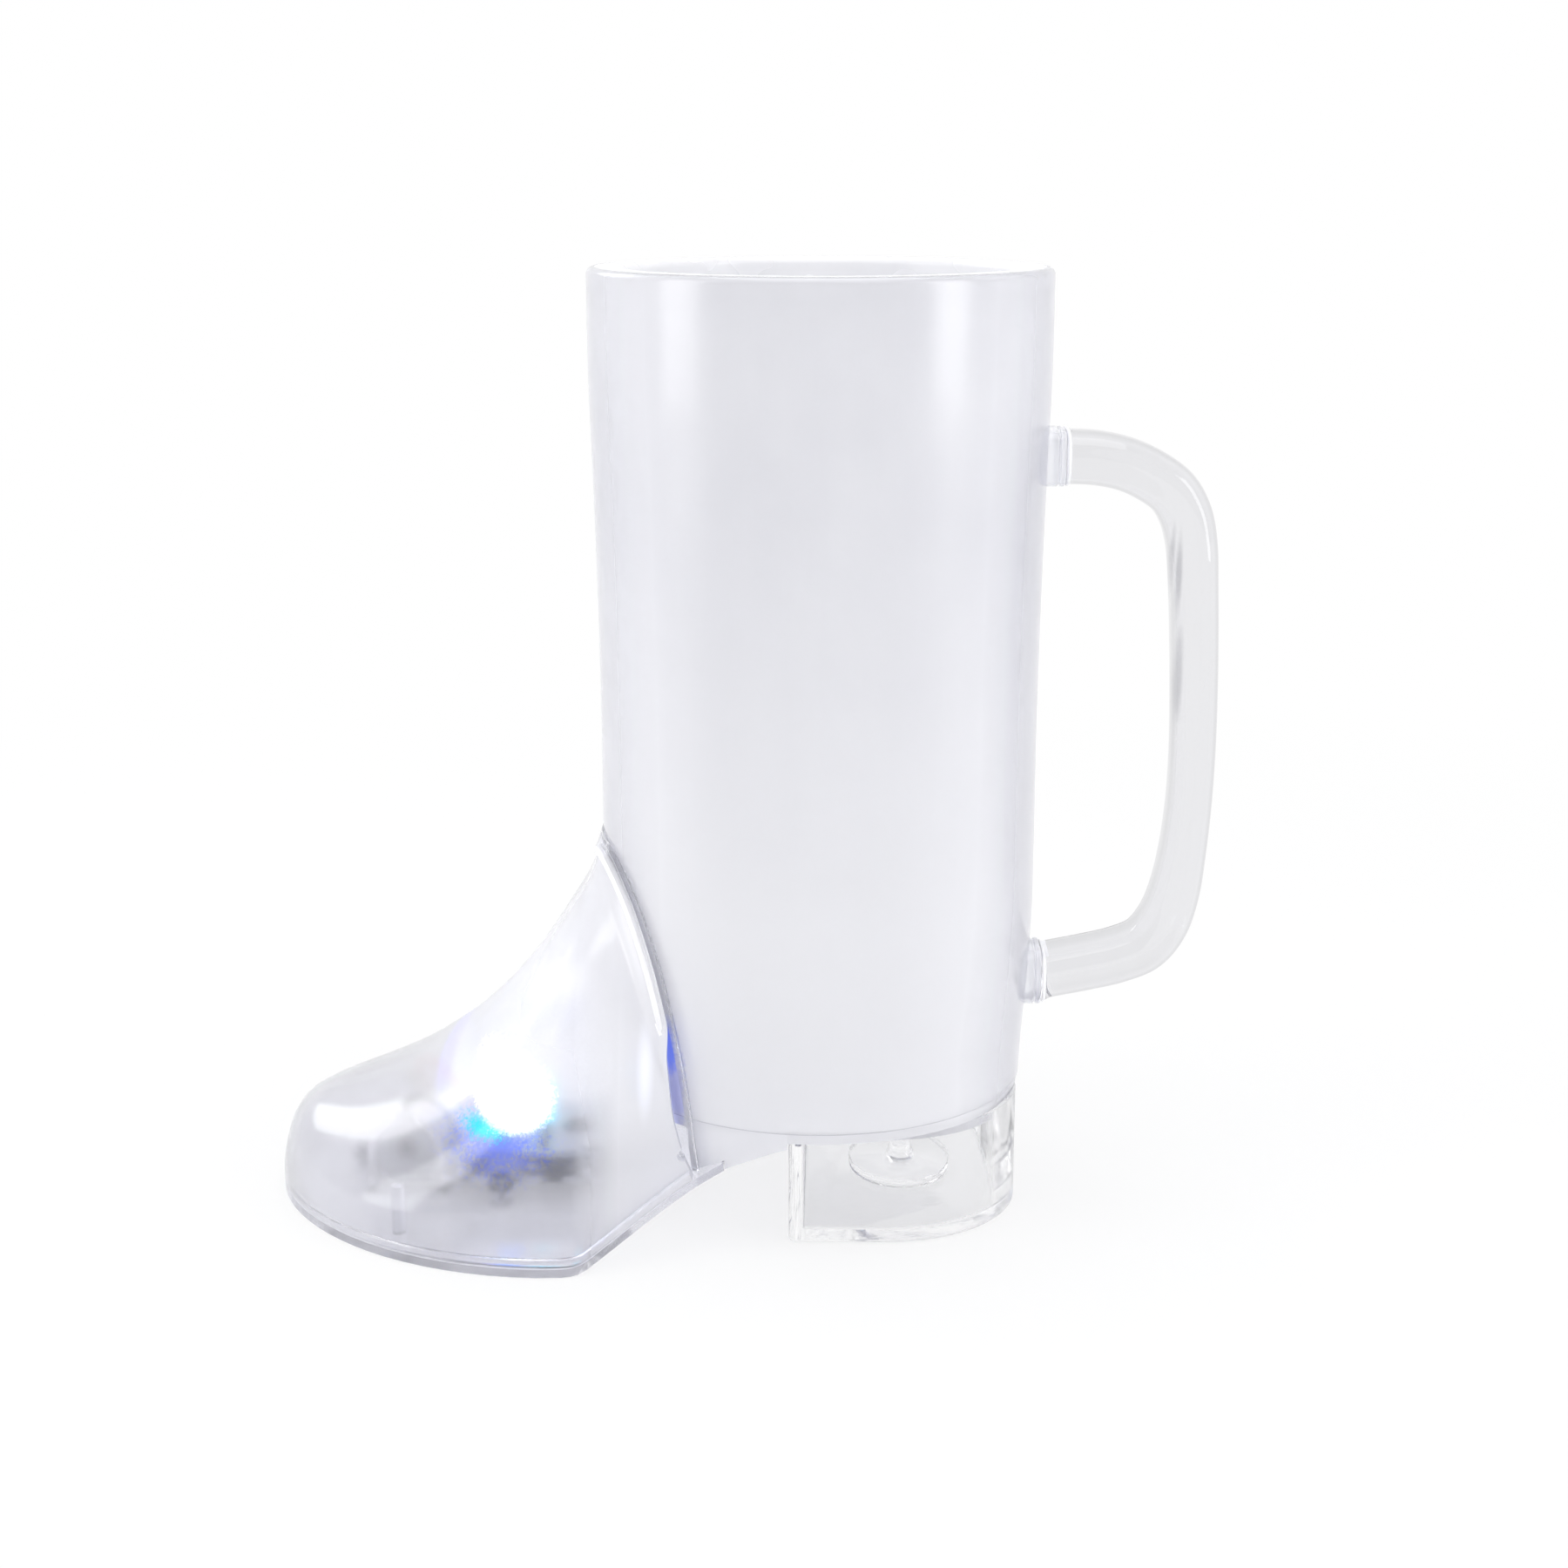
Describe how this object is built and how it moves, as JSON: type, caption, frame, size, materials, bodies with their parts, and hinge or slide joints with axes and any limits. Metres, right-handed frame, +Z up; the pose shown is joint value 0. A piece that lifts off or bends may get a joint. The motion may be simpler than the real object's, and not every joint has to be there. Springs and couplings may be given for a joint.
{
  "type": "drinking mug",
  "caption": "Boot-shaped drinking mug: double-walled translucent cup on a clear heel, side handle, and a glowing toe with a battery light unit, sole button and battery door.",
  "frame": {"origin": "on the table, where the cup's axis meets the heel's bottom face", "axes": "+Z up along the cup's axis, -X towards the toe, +X towards the handle"},
  "size_m": [0.1695, 0.0884, 0.167],
  "materials": {
    "frosted_plastic": "translucent, lightly frosted",
    "clear_plastic": "clear moulded plastic",
    "carrier_plastic": "clear moulded plastic",
    "board": "solder mask",
    "cell_steel": "satin",
    "contact_brass": "satin",
    "contact_steel": "satin",
    "black_plastic": "fine texture",
    "white_plastic": "smooth",
    "button_plastic": "translucent",
    "blue_lens": "tinted, lit",
    "cyan_lens": "tinted, lit",
    "violet_lens": "tinted, lit",
    "black_resin": "glossy resin",
    "red_wire": "insulated wire",
    "black_wire": "insulated wire",
    "seal_rubber": "matt",
    "screw_steel": "bright"
  },
  "bodies": {
    "mug": {"shaft_shell": "frosted_plastic", "inner_cup": "frosted_plastic", "foot_shell": "frosted_plastic", "handle": "clear_plastic", "sole_plate": "clear_plastic", "heel_block": "clear_plastic", "module_base": "carrier_plastic", "circuit_board": "board", "battery_cells": "cell_steel", "contact_positive": "contact_brass", "contact_negative": "contact_steel", "switch_body": "black_plastic", "led_blue": "blue_lens", "led_cyan": "cyan_lens", "led_violet": "violet_lens", "controller_chip": "black_resin", "resistors": "black_plastic", "wire_red": "red_wire", "wire_black": "black_wire", "battery_door": "clear_plastic", "door_seal": "seal_rubber", "door_screw": "screw_steel", "base_screws": "screw_steel", "board_screws": "screw_steel"},
    "push_button": {"push_button": "button_plastic"},
    "switch_plunger": {"switch_plunger": "white_plastic"}
  },
  "joints": [
    {"name": "button_press", "type": "slide", "parent": "mug", "child": "push_button", "axis": [0, 0, 1], "range_m": [0, 0.00075], "stiffness_N_per_m": 900},
    {"name": "plunger_press", "type": "slide", "parent": "mug", "child": "switch_plunger", "axis": [0, 0, 1], "range_m": [0, 0.00025]}
  ],
  "couplings": [
    {"joint": "plunger_press", "follows": "button_press", "ratio": 0.3333}
  ]
}
